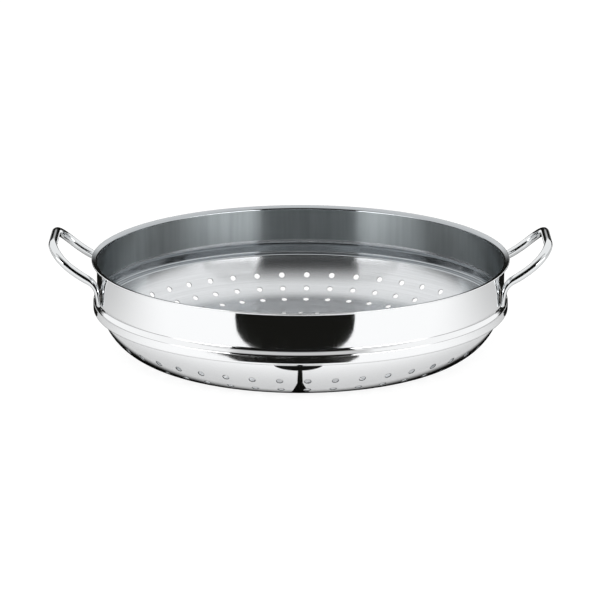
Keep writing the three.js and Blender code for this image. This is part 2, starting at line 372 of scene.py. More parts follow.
def shell_path(shell):
    """The middle of the sheet in section, from the floor's centre to the rim's edge."""
    half = shell.sheet / 2
    wall = shell.wall_radius - half
    bead = shell.bead_radius - half
    ledge = shell.ledge_height + half
    bowl_foot = shell.bowl_top - (ledge - half) * math.tan(shell.bowl_lean)
    bend_out = shell.lip_bend * (1 - math.cos(shell.lip_turn))
    lip_flat = (shell.rim_radius - half - wall - bend_out) / math.sin(shell.lip_turn)
    lip_rise = shell.lip_bend * math.sin(shell.lip_turn) + lip_flat * math.cos(shell.lip_turn)
    lip_foot = shell.height - half - lip_rise
    corners = (
        (Vector((bowl_foot, half)), bowl_bend(shell)),
        (Vector((shell.bowl_top, ledge)), shell.ledge_bend),
        (Vector((bead, ledge)), shell.bead_bend),
        (Vector((bead, shell.bead_top)), shell.bead_bend),
        (Vector((wall, shell.wall_foot)), shell.wall_foot_bend),
    )
    path = SheetPath((0, half), 0)
    goals = [corner for corner, _ in corners[1:]] + [Vector((wall, lip_foot))]
    for (corner, radius), goal in zip(corners, goals, strict=True):
        way = goal - corner
        turn = math.atan2(way.y, way.x) - path.heading
        path.straight((corner - path.end).length - radius * math.tan(abs(turn) / 2))
        path.bend(radius, turn)
    path.straight(lip_foot - path.end.y)
    path.bend(shell.lip_bend, -shell.lip_turn)
    path.straight(lip_flat)
    return path


class HoleRow(NamedTuple):
    """One ring of holes: its length along the section, its cells, and the turn of one hole."""

    length: float
    half_height: float
    count: int
    first: float


def hole_rows(shell, path):
    """The rows of holes from the floor's centre outwards."""
    flat = path.start(BOWL_BEND)
    half_floor = FLOOR_ROW_STEP * flat / 2
    rows = [HoleRow(share * flat, half_floor, count, QUARTER) for share, count in FLOOR_ROWS]
    bend = bowl_bend(shell)
    half_side = bend * shell.row_step / 2
    for row in reversed(range(SIDE_ROWS)):
        down = shell.first_row + row * shell.row_step
        rows.append(HoleRow(flat + bend * (QUARTER - down), half_side, SIDE_HOLES, 0.0))
    return rows


class ShellMaker:
    """Builds both faces of the punched sheet, the hole walls between them and the rim's edge."""

    # Places of the finishes in the shell's list of materials
    OUTSIDE = 0
    INSIDE = 1
    # The groove's darker steel is painted shade
    GROOVE = 2
    WALL = 3
    HOLE = 4

    def __init__(self, shell):
        self.shell = shell
        self.path = shell_path(shell)
        # The groove inside the bead runs from the ledge's inner bend to the wall's foot bend
        self.groove = (self.path.start(LEDGE_BEND), self.path.start(WALL_FOOT_BEND))
        self.wall = self.path.start(WALL_STRAIGHT)
        self.lip = self.path.start(LIP_BEND)
        self.skin = Skin()

    def spot(self, length, turn, side):
        """(place, normal) on one face of the sheet: side is 1 outside and -1 inside."""
        middle, heading = self.path.at(length)
        out, up = math.sin(heading), -math.cos(heading)
        reach = middle.x + side * self.shell.sheet / 2 * out
        height = middle.y + side * self.shell.sheet / 2 * up
        if length == 0:
            reach = 0.0
        place = Vector((reach * math.cos(turn), reach * math.sin(turn), height))
        return place, side * Vector((out * math.cos(turn), out * math.sin(turn), up))

    def row(self, length, side):
        """A ring of points on one face."""
        turns = (FULL_TURN * i / AROUND for i in range(AROUND))
        return [self.skin.point(*self.spot(length, turn, side)) for turn in turns]

    def plain(self, start, end, side):
        """A stretch with no holes."""
        if side > 0:
            kind = self.OUTSIDE
        elif start in (self.groove[0], self.lip):
            kind = self.GROOVE
        elif start == self.wall:
            kind = self.WALL
        else:
            kind = self.INSIDE
        rows = [self.row(length, side) for length in self.path.cuts(start, end)]
        for low, high in zip(rows, rows[1:], strict=False):
            self.skin.band(low, high, kind, flip=side < 0)

    def cell_outline(self, row):
        """(length, turn) offsets of a cell's edge, counted from the middle of one side."""
        half_turn = math.pi / row.count
        across = AROUND // row.count
        up = [(i / (SIDE_CUTS / 2), 1.0) for i in range(SIDE_CUTS // 2)]
        over = [(1.0, 1 - i / (across / 2)) for i in range(across // 2)]
        mirrored = [(a, -b) for a, b in reversed(up[1:] + over)]
        upper = up + over + [(1.0, 0.0)] + mirrored
        lower = [(-a, b) for a, b in reversed(upper[1:])]
        outline = upper + [(0.0, -1.0)] + lower
        return [(a * row.half_height, b * half_turn) for a, b in outline]

    def cell(self, row, turn):
        """One hole with the sheet round it, on both faces."""
        shell = self.shell
        length = row.length
        outline = self.cell_outline(row)
        count = len(outline)
        angles = [FULL_TURN * i / count for i in range(count)]
        walls = []
        for side, kind in ((1, self.OUTSIDE), (-1, self.INSIDE)):
            rings = []
            for i in range(EDGE_CUTS + 1):
                sink = QUARTER * (1 - i / EDGE_CUTS)
                rings.append(self.edge_ring(length, turn, angles, side, sink))
            reach = shell.hole_radius + shell.hole_edge + shell.hole_dish
            for share in HOLE_FIELD:
                ring = []
                for angle, (high, wide) in zip(angles, outline, strict=True):
                    rise = (1 - share) * reach * math.sin(angle) + share * high
                    radius = self.path.at(length + rise)[0].x
                    swing = (1 - share) * reach * math.cos(angle) / radius + share * wide
                    ring.append(self.skin.point(*self.spot(length + rise, turn + swing, side)))
                rings.append(ring)
            for i, (inner, outer) in enumerate(zip(rings, rings[1:], strict=False)):
                # The rounded outside edge takes the punched edge's dark colour: a painted shade ring
                # round each hole
                rounded = side > 0 and i < EDGE_CUTS
                self.skin.band(inner, outer, self.HOLE if rounded else kind, flip=side > 0)
            walls.append(rings[0])
        self.skin.band(walls[0], walls[1], self.HOLE)

    def edge_ring(self, length, turn, angles, side, sink):
        """Points round a hole's rounded edge: sink turns from the sheet's face to its wall."""
        shell = self.shell
        reach = shell.hole_radius + shell.hole_edge * (1 - math.sin(sink))
        depth = shell.hole_edge * (1 - math.cos(sink))
        centre, _ = self.spot(length, turn, side)
        ring = []
        for angle in angles:
            rise = reach * math.sin(angle)
            radius = self.path.at(length + rise)[0].x
            swing = reach * math.cos(angle) / radius
            place, normal = self.spot(length + rise, turn + swing, side)
            inward = (centre - place).normalized()
            roll = max(sink, shell.hole_roll if side > 0 else 0.0)
            lean = (math.cos(roll) * normal + math.sin(roll) * inward).normalized()
            ring.append(self.skin.point(place - depth * normal, lean))
        return ring

    def rim_edge(self):
        """The rounded cut edge that joins the two faces at the rim."""
        end, heading = self.path.at(self.path.length)
        half = self.shell.sheet / 2
        rows = []
        steps = 2 * EDGE_CUTS
        for i in range(steps + 1):
            lean = heading - QUARTER + math.pi * i / steps
            row = []
            for k in range(AROUND):
                turn = FULL_TURN * k / AROUND
                normal = Vector(
                    (math.cos(lean) * math.cos(turn), math.cos(lean) * math.sin(turn), math.sin(lean))
                )
                middle = Vector((end.x * math.cos(turn), end.x * math.sin(turn), end.y))
                row.append(self.skin.point(middle + half * normal, normal))
            rows.append(row)
        for low, high in zip(rows, rows[1:], strict=False):
            self.skin.band(low, high, self.OUTSIDE)

    def build(self, materials):
        """The whole shell as one mesh object."""
        reached = 0.0
        for row in hole_rows(self.shell, self.path):
            low = row.length - row.half_height
            for side in (1, -1):
                if low > reached + self.shell.sheet:
                    self.plain(reached, low, side)
            for i in range(row.count):
                self.cell(row, row.first + FULL_TURN * i / row.count)
            reached = row.length + row.half_height
        ends = (reached, *self.groove, self.wall, self.lip, self.path.length)
        for start, end in zip(ends, ends[1:], strict=False):
            for side in (1, -1):
                self.plain(start, end, side)
        self.rim_edge()
        return self.skin.to_object("perforated_shell", materials)


def leg_turn(shell, handle):
    """Direction of a handle leg round the shell, from the handle's middle."""
    foot = shell.wall_radius + handle.seam + handle.foot_thick
    return math.asin(handle.leg_spread / 2 / foot)


def foot_height(shell, handle):
    """Height of the handles' feet, which run a little way down over the bend at the wall's foot."""
    slope = math.atan2(shell.bead_radius - shell.wall_radius, shell.wall_foot - shell.bead_top)
    return shell.wall_foot + shell.wall_foot_bend * math.tan(slope / 2) - handle.foot_dip


def handle_side_view(shell, handle):
    """The rod's middle seen from the side, from the foot to the grip."""
    foot = shell.wall_radius + handle.seam + handle.foot_thick
    low = foot_height(shell, handle)
    path = SheetPath((foot * math.cos(leg_turn(shell, handle)), low), handle.leg_angle)
    path.straight(shell.height - low - handle.leg_below_rim)
    path.bend(handle.bend_radius, handle.arm_start - handle.leg_angle)
    path.bend(handle.arm_radius, handle.arm_end - handle.arm_start)
    return path


def smooth(share):
    """0 to 1 with no sudden start or stop."""
    share = min(max(share, 0.0), 1.0)
    return share * share * (3 - 2 * share)


def handle_stations(handle, path):
    """(length along the side view, distance across, inset of a rounded end) from foot to foot."""
    leg_end, bend_end = path.start(LEG_BEND), path.start(ARM_CURVE)
    corner = path.length - handle.grip_bend
    edge = handle.foot_edge

    def across(length):
        """Half the spread of the arms, which draw in towards the grip."""
        share = min(max((length - bend_end) / (path.length - bend_end), 0.0), 1.0)
        return (handle.leg_spread + share * (handle.grip_spread - handle.leg_spread)) / 2

    stations = []
    for i in range(EDGE_CUTS + 1):
        lean = QUARTER * i / EDGE_CUTS
        stations.append((edge * (1 - math.cos(lean)), across(0), edge * (1 - math.sin(lean))))
    runs = (
        (edge, leg_end, LEG_STEPS),
        (leg_end, bend_end, LEG_BEND_STEPS),
        (bend_end, corner, ARM_STEPS),
    )
    for start, stop, steps in runs:
        for i in range(1, steps + 1):
            length = start + (stop - start) * i / steps
            stations.append((length, across(length), 0.0))
    for i in range(1, GRIP_BEND_STEPS + 1):
        turn = QUARTER * i / GRIP_BEND_STEPS
        length = corner + handle.grip_bend * math.sin(turn)
        stations.append((length, across(corner) - handle.grip_bend * (1 - math.cos(turn)), 0.0))
    last = stations[-1][1]
    for i in range(1, GRIP_STEPS + 1):
        stations.append((path.length, last * (1 - i / GRIP_STEPS), 0.0))
    mirrored = [(length, -out, inset) for length, out, inset in reversed(stations[:-1])]
    return stations + mirrored


def rod_section(handle, grown, inset):
    """Offsets (through, across) of the rod's outline, which grows from flat foot to round rod."""
    thick = handle.foot_thick + grown * (handle.rod_radius - handle.foot_thick) - inset
    wide = handle.foot_wide + grown * (handle.rod_radius - handle.foot_wide) - inset
    power = 2 / (FLAT_POWER + grown * (ROUND_POWER - FLAT_POWER))
    offsets = []
    for i in range(ROD_SIDES):
        turn = FULL_TURN * i / ROD_SIDES
        cos, sin = math.cos(turn), math.sin(turn)
        through = thick * math.copysign(abs(cos) ** power, cos)
        across = wide * math.copysign(abs(sin) ** power, sin)
        offsets.append((through, across))
    return offsets


def rod_rings(shell, handle):
    """Rings of places along the handle on the +X side."""
    path = handle_side_view(shell, handle)
    stations = handle_stations(handle, path)
    centres = []
    for length, out, _ in stations:
        spot, _ = path.at(length)
        centres.append(Vector((spot.x, out, spot.y)))
    rings = []
    for i, (length, out, inset) in enumerate(stations):
        ahead = centres[min(i + 1, len(centres) - 1)]
        behind = centres[max(i - 1, 0)]
        heading = (ahead - behind).normalized()
        if length <= handle.foot_edge:
            heading = Vector((0, 0, 1 if i < len(stations) / 2 else -1))
        grown = smooth(length / handle.flat_length)
        lean = math.copysign(leg_turn(shell, handle) * (1 - grown), out)
        rise = path.at(length)[1]
        outward = Vector(
            (math.sin(rise) * math.cos(lean), math.sin(rise) * math.sin(lean), -math.cos(rise))
        )
        wide = heading.cross(outward).normalized()
        thick = wide.cross(heading)
        section = rod_section(handle, grown, inset)
        rings.append([centres[i] + a * thick + b * wide for a, b in section])
    return rings


def closed_loft(name, rings, material, spin):
    """A smooth closed body through rings of places, turned about the upright axis."""
    turn = Matrix.Rotation(spin, 3, "Z")
    points = [tuple(turn @ p) for ring in rings for p in ring]
    sides = len(rings[0])
    faces = []
    for k in range(len(rings) - 1):
        for i in range(sides):
            j = (i + 1) % sides
            low, high = k * sides, (k + 1) * sides
            faces.append((low + i, low + j, high + j, high + i))
    last = (len(rings) - 1) * sides
    faces.append(tuple(range(sides))[::-1])
    faces.append(tuple(last + i for i in range(sides)))
    mesh = bpy.data.meshes.new(name)
    mesh.from_pydata(points, [], faces)
    mesh.materials.append(material)
    mesh.shade_smooth()
    mesh.update()
    piece = bpy.data.objects.new(name, mesh)
    bpy.context.scene.collection.objects.link(piece)
    return piece


def weld_rings(shell, handle):
    """Rings of an uneven oval of weld metal that swells at its edge, against the wall on +X."""
    air = WELD_AIR * handle.seam
    depth = handle.seam - 2 * air
    base = shell.wall_radius + air
    height = foot_height(shell, handle) + handle.weld_rise
    mirrored = [(1 - through, share) for through, share in reversed(WELD_LAYERS)]
    rings = []
    for through, share in [*WELD_LAYERS, *mirrored]:
        ring = []
        for i in range(WELD_SIDES):
            turn = FULL_TURN * i / WELD_SIDES
            uneven = 1 + sum(dip * (math.sin(n * turn + phase) - 1) for n, phase, dip in WELD_WAVES)
            wide = handle.weld_wide * share * uneven * math.cos(turn)
            tall = handle.weld_tall * share * uneven * math.sin(turn)
            ring.append(Vector((base + through * depth, wide, height + tall)))
        rings.append(ring)
    return rings


def add_node(tree, kind, inputs=None, **settings):
    """Adds a shader node of this kind, sets its fields, and fills or links its inputs."""
    node = tree.nodes.new(f"ShaderNode{kind}")
    for field, value in settings.items():
        setattr(node, field, value)
    for socket, value in (inputs or {}).items():
        if isinstance(value, bpy.types.NodeSocket):
            tree.links.new(value, node.inputs[socket])
        else:
            node.inputs[socket].default_value = value
    return node


def new_material(name):
    """An empty node material and its tree."""
    material = bpy.data.materials.new(name)
    material.use_nodes = True
    material.node_tree.nodes.clear()
    return material, material.node_tree


def ring_lines(tree, spacing, streak):
    """Noise drawn out round the upright axis: tool marks of that spacing and length in metres."""
    place = add_node(tree, "TexCoord").outputs["Object"]
    level = add_node(
        tree, "VectorMath", {0: place, 1: LEVEL_AXES}, operation="MULTIPLY"
    ).outputs["Vector"]
    reach = add_node(tree, "VectorMath", {0: level}, operation="LENGTH").outputs["Value"]
    along = add_node(tree, "VectorMath", {0: level}, operation="NORMALIZE").outputs["Vector"]
    rings = BOWL_HIGH[0] / streak
    stretched = add_node(
        tree, "VectorMath", {0: along, "Scale": rings}, operation="SCALE"
    ).outputs["Vector"]
    height = add_node(tree, "SeparateXYZ", {0: place}).outputs["Z"]
    climb = add_node(tree, "Math", {0: reach, 1: height}, operation="ADD").outputs["Value"]
    lines = add_node(
        tree, "Math", {0: climb, 1: 1 / spacing}, operation="MULTIPLY"
    ).outputs["Value"]
    stacked = add_node(tree, "CombineXYZ", {"Z": lines}).outputs["Vector"]
    where = add_node(
        tree, "VectorMath", {0: stretched, 1: stacked}, operation="ADD"
    ).outputs["Vector"]
    return add_node(
        tree, "TexNoise", {"Vector": where, "Scale": 1.0, "Detail": 3.0, "Roughness": 0.6}
    ).outputs["Fac"]


def bare_steel(tree, colour, marks, gloss, extra=None):
    """Covers the material in steel whose roughness follows its marks between two values."""
    low, high = gloss
    roughness = add_node(
        tree, "MapRange", {"Value": marks, "To Min": low, "To Max": high}
    ).outputs["Result"]
    inputs = {"Base Color": colour, "Metallic": 1.0, "Roughness": roughness, **(extra or {})}
    steel = add_node(tree, "BsdfPrincipled", inputs).outputs["BSDF"]
    add_node(tree, "OutputMaterial", {"Surface": steel})


def polished_steel(colours):
    """Stainless steel, drawn and mirror polished: sharp reflections, faint rings from the wheel."""
    material, tree = new_material("stainless_steel_mirror_polished")
    # Real wheel lines are about 0.05 mm apart; they are drawn coarser so that they show
    lines = ring_lines(tree, *WHEEL_LINES)
    bump = add_node(
        tree, "Bump", {"Height": lines, "Strength": 0.02, "Distance": 0.02 * MM}
    ).outputs["Normal"]
    bare_steel(tree, colours.polished, lines, POLISHED_GLOSS, {"Normal": bump})
    return material


def satin_steel(name, colour, line, streaks, gloss):
    """Stainless steel, turned with abrasive: reflections smear across its fine rings.

    The streaks are the spacing and length of its darker lines: fine abrasive lines on the bowl, and
    on the wall upright streaks of painted sheen.
    """
    material, tree = new_material(name)
    # Real abrasive lines are about 0.1 mm apart; they are drawn coarser so that they show
    lines = ring_lines(tree, *ABRASIVE_LINES)
    drawn = ring_lines(tree, *streaks)
    tone = add_node(
        tree, "MapRange", {"Value": drawn, "From Min": 0.35, "From Max": 0.65}
    ).outputs["Result"]
    shade = add_node(
        tree, "Mix", {"Factor": tone, "A": line, "B": colour}, data_type="RGBA"
    ).outputs["Result"]
    around = add_node(tree, "Tangent", direction_type="RADIAL", axis="Z").outputs["Tangent"]
    smear = {"Anisotropic": 1.0, "Anisotropic Rotation": 0.25, "Tangent": around}
    bare_steel(tree, shade, lines, gloss, smear)
    return material


def drawn_steel_with_painted_shade(colours):
    """Stainless steel as it left the drawing die: bright and a little soft, in a darker colour that
    paints the shade in the groove inside the bead.
    """
    material, tree = new_material("stainless_steel_bright_drawn_painted_shade")
    # Real die lines are about 0.2 mm apart; they are drawn coarser so that they show
    lines = ring_lines(tree, *DIE_LINES)
    bare_steel(tree, colours.drawn, lines, DRAWN_GLOSS)
    return material


def punched_steel_with_painted_shade(colours):
    """Stainless steel sheared by the punch: a dull, dark and finely torn edge; on each hole's rounded
    outside edge the dark colour is painted shade.
    """
    material, tree = new_material("stainless_steel_punched_edge_painted_shade")
    place = add_node(tree, "TexCoord").outputs["Object"]
    # Real tear marks are about 0.1 mm apart; they are drawn coarser so that they show
    tears = add_node(
        tree, "TexNoise", {"Vector": place, "Scale": 1 / TEAR, "Detail": 2.0, "Roughness": 0.6}
    ).outputs["Fac"]
    bare_steel(tree, colours.punched, tears, PUNCHED_GLOSS)
    return material


def rod_steel(colours):
    """Stainless rod, drawn and buffed: nearly a mirror, with soft scuffs where hands take it."""
    material, tree = new_material("stainless_rod_buffed")
    place = add_node(tree, "TexCoord").outputs["Object"]
    scuff = add_node(
        tree, "TexNoise", {"Vector": place, "Scale": 1 / SCUFF, "Detail": 4.0, "Roughness": 0.65}
    ).outputs["Fac"]
    bare_steel(tree, colours.rod, scuff, ROD_GLOSS)
    return material


def weld_steel(colours):
    """Fused stainless steel, left as welded: evenly dull, rippled and straw tinted by heat."""
    material, tree = new_material("stainless_weld_as_fused")
    place = add_node(tree, "TexCoord").outputs["Object"]
    ripple = add_node(
        tree,
        "TexWave",
        {"Vector": place, "Scale": 1 / RIPPLE, "Distortion": 3.0, "Detail": 2.0},
        bands_direction="Z",
    ).outputs["Fac"]
    tint = add_node(
        tree, "Mix", {"Factor": ripple, "A": colours.weld, "B": colours.weld_tint}, data_type="RGBA"
    ).outputs["Result"]
    bump = add_node(
        tree, "Bump", {"Height": ripple, "Strength": 0.4, "Distance": 0.1 * MM}
    ).outputs["Normal"]
    bare_steel(tree, tint, ripple, WELD_GLOSS, {"Normal": bump})
    return material


def seat(piece, slot, *nodes):
    """The piece rides on the one body and stands for these CAD nodes."""
    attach(piece, BODY)
    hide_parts(*nodes)


class STEAMER_OT_shell(bpy.types.Operator):
    """Build the punched sheet shell"""

    bl_idname = "steamer.shell"
    bl_label = "Perforated Shell"

    def execute(self, context):
        scene = context.scene
        colours = scene.steamer_colours
        materials = [
            polished_steel(colours),
            satin_steel(
                "stainless_steel_turned_satin",
                colours.satin,
                colours.satin_line,
                ABRASIVE_LINES,
                SATIN_GLOSS,
            ),
            drawn_steel_with_painted_shade(colours),
            # The wall's darker colour is painted shade, and its upright streaks are painted sheen
            satin_steel(
                "stainless_steel_brushed_wall_painted_shade",
                colours.wall,
                colours.wall_streak_sheen,
                WALL_SHEEN_STREAKS,
                WALL_GLOSS,
            ),
            punched_steel_with_painted_shade(colours),
        ]
        piece = ShellMaker(scene.steamer_shell).build(materials)
        seat(piece, "bowl_steel", "steamer_bowl")
        return {"FINISHED"}


class STEAMER_OT_handles(bpy.types.Operator):
    """Bend the two rod handles"""

    bl_idname = "steamer.handles"
    bl_label = "Rod Handles"

    def execute(self, context):
        scene = context.scene
        material = rod_steel(scene.steamer_colours)
        rings = rod_rings(scene.steamer_shell, scene.steamer_handle)
        for side, spin in (("right", 0.0), ("left", math.pi)):
            piece = closed_loft(f"{side}_rod_handle", rings, material, spin)
            seat(piece, "rod_steel", f"{side}_handle")
        return {"FINISHED"}


class STEAMER_OT_welds(bpy.types.Operator):
    """Fill the seam under each handle foot with weld metal"""

    bl_idname = "steamer.welds"
    bl_label = "Handle Welds"

    def execute(self, context):
        scene = context.scene
        material = weld_steel(scene.steamer_colours)
        rings = weld_rings(scene.steamer_shell, scene.steamer_handle)
        lean = leg_turn(scene.steamer_shell, scene.steamer_handle)
        places = {
            "right_rear": lean,
            "right_front": -lean,
            "left_rear": math.pi - lean,
            "left_front": math.pi + lean,
        }
        for name, spin in places.items():
            piece = closed_loft(f"{name}_foot_weld", rings, material, spin)
            seat(piece, "weld_steel", f"{name}_weld")
        return {"FINISHED"}


# Heights of the stage's flat layers, a hair apart so that none hides another
BLACK_LEVEL = 0.0
STRIP_LEVEL = -0.1 * MM
DISC_LEVEL = -0.2 * MM
RING_LEVEL = -0.3 * MM
FLOOR_LEVEL = -0.4 * MM
FLOOR_REACH = 8.0

# Axes that a cloth fades along; the oval is shorter along the view
UPWARDS = (0, 0, 1)
BACKWARDS = (0, 1, 0)
OVAL = (1, 2.4, 0)

# A fade that begins beyond the whole stage
NO_FADE = (40.0, 41.0)

# Patch that the wall reflects: bearings of its sides, near and far edge, and rounded corners
GAP_CENTRE_Y = -40 * MM
WALL_GAP_SIDES = (math.radians(-31.8), math.radians(26.3))
WALL_GAP_EDGES = (294 * MM, 3.0)
WALL_GAP_CORNERS = ((math.radians(17.5), 100 * MM), (math.radians(16.5), 100 * MM))
SECTOR_STEPS = 48

# Near edge of the patch that the bead reflects: bearing in degrees, reach in millimetres
BEAD_EDGE = (
    (-44, 291), (-38, 287), (-33, 281), (-29, 272), (-14, 252),
    (0, 240), (10, 252), (22, 272), (26, 284),
)

# Patch that the bowl reflects: middle and half sizes of its round end, and its stem in millimetres
BOWL_GAP_MIDDLE = (-3 * MM, -206 * MM)
BOWL_GAP_HALVES = (30 * MM, 17 * MM)
BOWL_STEM = ((-3, -190), (2, -190), (2, -162), (9, -136), (-9, -136), (-3, -162))

# Tall dark gap before the object: its outline (across, up), its place and its fade
FRONT_GAP = (
    (-0.63, 0.03), (0.42, 0.03), (0.42, 0.25), (0.58, 1.0),
    (1.4, 3.6), (-1.6, 3.6), (-0.8, 1.0), (-0.63, 0.25),
)
FRONT_PLACE = (0, -0.9, 0)
FRONT_FADE = (0.8, 2.2)

# Painted shadow of the insert on the floor, seen only in reflections: dark paper under it, and the
# grey ring round it
DISC_MIDDLE = (0, 45 * MM, 0)
DISC_RADIUS = 0.2
UNDER_FADE = (182 * MM, 195 * MM)
REAR_FADE = (120 * MM, 195 * MM)
RING_RADIUS = 0.27
RING_FADE = (188 * MM, 265 * MM)
RING_DEPTH = 0.36

# Pairs of cards at the sides: black flags in millimetres, thin veils and grey strips in metres
FLAG = ((165, 100), (235, 85), (295, 145), (420, 750), (150, 750), (150, 200))
VEIL_MIDDLE = (0, -0.85, 0.65)
VEIL_EDGES = (0.55, 1.7)
VEIL_HALF_HEIGHT = 0.4
VEIL_FADE = (0.2, 0.4)
VEIL_DEPTH = 0.35
STRIP = ((0.19, -0.75), (1.2, -0.75), (1.2, 0.4), (0.19, 0.4))
STRIP_MIDDLE = (0, 0.55, 0)
STRIP_FADE = (0.4, 0.75)
STRIP_DEPTH = 0.42

# The tent's light: how far ahead its front begins and is full, and the same upwards for its roof
TENT_FRONT = (0.15, 0.75)
TENT_ROOF = (0.06, 0.28)

# How far the camera sees
VIEW_END = 50.0


class StandingCard(NamedTuple):
    """An unlit card that stands across the view: its place along the view, edges and fade."""

    name: str
    place: float
    half_width: float
    low: float
    high: float
    fade: tuple
    depth: float = 1.0


STANDING_CARDS = (
    StandingCard("ahead", -1.0, half_width=1.8, low=0.0, high=0.16, fade=(0.1, 0.16)),
    StandingCard("canopy", -0.95, half_width=2.0, low=1.7, high=3.6, fade=(2.8, 3.6), depth=0.4),
    StandingCard("back", 1.2, half_width=1.3, low=0.0, high=0.5, fade=(0.36, 0.5)),
)


def pale_floor(stage):
    """Plain pale paper: it takes the shadow, and it is white where camera or metal sees it lit."""
    material, tree = new_material("pale_paper_sweep")
    seen = add_node(tree, "LightPath").outputs
    direct = add_node(
        tree, "Math", {0: seen["Is Camera Ray"], 1: seen["Is Glossy Ray"]}, operation="ADD"
    ).outputs["Value"]
    any_view = add_node(
        tree, "Math", {0: direct, 1: seen["Is Transmission Ray"]}, operation="ADD"
    ).outputs["Value"]
    lift = add_node(
        tree, "Math", {0: any_view, 1: stage.floor_lift}, operation="MULTIPLY"
    ).outputs["Value"]
    glow = add_node(tree, "Emission", {"Strength": lift}).outputs["Emission"]
    paper = add_node(tree, "BsdfDiffuse", {"Color": stage.floor}).outputs["BSDF"]
    both = add_node(tree, "AddShader", {0: paper, 1: glow}).outputs["Shader"]
    add_node(tree, "OutputMaterial", {"Surface": both})
    return material


def unlit_cloth(name, colour, along, fade, depth=1.0):
    """Unlit black cloth, also used as painted shadow, that thins out to nothing between two distances
    along the given axes.
    """
    material, tree = new_material(name)
    start, end = fade
    place = add_node(tree, "TexCoord").outputs["Object"]
    kept = add_node(
        tree, "VectorMath", {0: place, 1: along}, operation="MULTIPLY"
    ).outputs["Vector"]
    reach = add_node(tree, "VectorMath", {0: kept}, operation="LENGTH").outputs["Value"]
    thin = add_node(
        tree,
        "MapRange",
        {"Value": reach, "From Min": start, "From Max": end, "To Min": 1 - depth},
        interpolation_type="SMOOTHSTEP",
    ).outputs["Result"]
    cloth = add_node(tree, "BsdfDiffuse", {"Color": colour}).outputs["BSDF"]
    clear = add_node(tree, "BsdfTransparent").outputs["BSDF"]
    both = add_node(tree, "MixShader", {0: thin, 1: cloth, 2: clear}).outputs["Shader"]
    add_node(tree, "OutputMaterial", {"Surface": both})
    return material


def flat_card(name, corners, material, origin=(0, 0, 0)):
    """A flat stage card through these corners, which are counted from its origin."""
    mesh = bpy.data.meshes.new(name)
    mesh.from_pydata(corners, [], [tuple(range(len(corners)))])
    mesh.materials.append(material)
    card = bpy.data.objects.new(name, mesh)
    card.location = origin
    bpy.context.scene.collection.objects.link(card)
    return card


def floor_spot(bearing, reach):
    """A place on the floor in front, by its bearing and its reach."""
    return (reach * math.sin(bearing), GAP_CENTRE_Y - reach * math.cos(bearing), BLACK_LEVEL)


def floor_sector(sides, edges, corners):
    """Outline on the floor in front, between two bearings, with its near corners rounded.

    Each corner is (width as a bearing, depth).
    """
    left, right = sides
    near, far = edges
    bearings = [left + (right - left) * i / SECTOR_STEPS for i in range(SECTOR_STEPS + 1)]
    outline = []
    for bearing in bearings:
        lift = 0.0
        for side, (width, depth) in zip(sides, corners, strict=True):
            into = max(0.0, 1 - abs(bearing - side) / width)
            lift += depth * (1 - math.sqrt(1 - into * into))
        outline.append(floor_spot(bearing, near + lift))
    return outline + [floor_spot(bearing, far) for bearing in reversed(bearings)]


def arc(middle, halves, level, start, end):
    """Outline along part of a level ellipse."""
    steps = round((end - start) / CARD_STEP)
    turns = [start + i * CARD_STEP for i in range(steps + 1)]
    x, y = middle
    wide, deep = halves
    return [(x + wide * math.cos(turn), y + deep * math.sin(turn), level) for turn in turns]


def upright(left, right, low, high):
    """Outline of a card that stands across the view."""
    return [(left, 0, low), (right, 0, low), (right, 0, high), (left, 0, high)]


def front_gaps(black):
    """Unlit patches on the floor in front, for the wall, the bead and the bowl to reflect."""
    wall = floor_sector(WALL_GAP_SIDES, WALL_GAP_EDGES, WALL_GAP_CORNERS)
    edge = [(math.radians(bearing), reach * MM) for bearing, reach in BEAD_EDGE]
    bead = [floor_spot(bearing, reach) for bearing, reach in edge]
    bead += [floor_spot(bearing, WALL_GAP_EDGES[0]) for bearing, _ in reversed(edge)]
    bowl = arc(BOWL_GAP_MIDDLE, BOWL_GAP_HALVES, BLACK_LEVEL, 0.0, math.pi)
    stem = [(x * MM, y * MM, BLACK_LEVEL) for x, y in BOWL_STEM]
    return [
        flat_card("wall_gap_card", wall, black),
        flat_card("bead_gap_card", bead, black),
        flat_card("bowl_gap_card", bowl, black),
        flat_card("bowl_stem_card", stem, black),
    ]


def standing_cards(stage):
    """Unlit cards that stand across the view, before the object and behind it."""
    front_cloth = unlit_cloth("front_cloth", stage.dark, UPWARDS, FRONT_FADE)
    front = [(x, 0, z) for x, z in FRONT_GAP]
    cards = [flat_card("front_card", front, front_cloth, FRONT_PLACE)]
    for card in STANDING_CARDS:
        cloth = unlit_cloth(f"{card.name}_cloth", stage.dark, UPWARDS, card.fade, card.depth)
        corners = upright(-card.half_width, card.half_width, card.low, card.high)
        cards.append(flat_card(f"{card.name}_card", corners, cloth, (0, card.place, 0)))
    return cards


def painted_shadow_discs(stage):
    """Painted shadow of the insert, seen only in reflections: dark paper under it in two halves, and
    a grey ring round it.
    """
    under = unlit_cloth("painted_shadow_under_cloth", stage.dark, LEVEL_AXES, UNDER_FADE)
    rear = unlit_cloth("painted_shadow_rear_cloth", stage.dark, OVAL, REAR_FADE)
    around = unlit_cloth("painted_shadow_ring_cloth", stage.dark, LEVEL_AXES, RING_FADE, RING_DEPTH)
    discs = (
        ("painted_shadow_under_card", under, DISC_RADIUS, DISC_LEVEL, math.pi, FULL_TURN),
        ("painted_shadow_rear_card", rear, DISC_RADIUS, DISC_LEVEL, 0.0, math.pi),
        ("painted_shadow_ring_card", around, RING_RADIUS, RING_LEVEL, 0.0, FULL_TURN - CARD_STEP),
    )
    cards = []
    for name, cloth, radius, level, start, end in discs:
        outline = arc((0, 0), (radius, radius), level, start, end)
        cards.append(flat_card(name, outline, cloth, DISC_MIDDLE))
    return cards


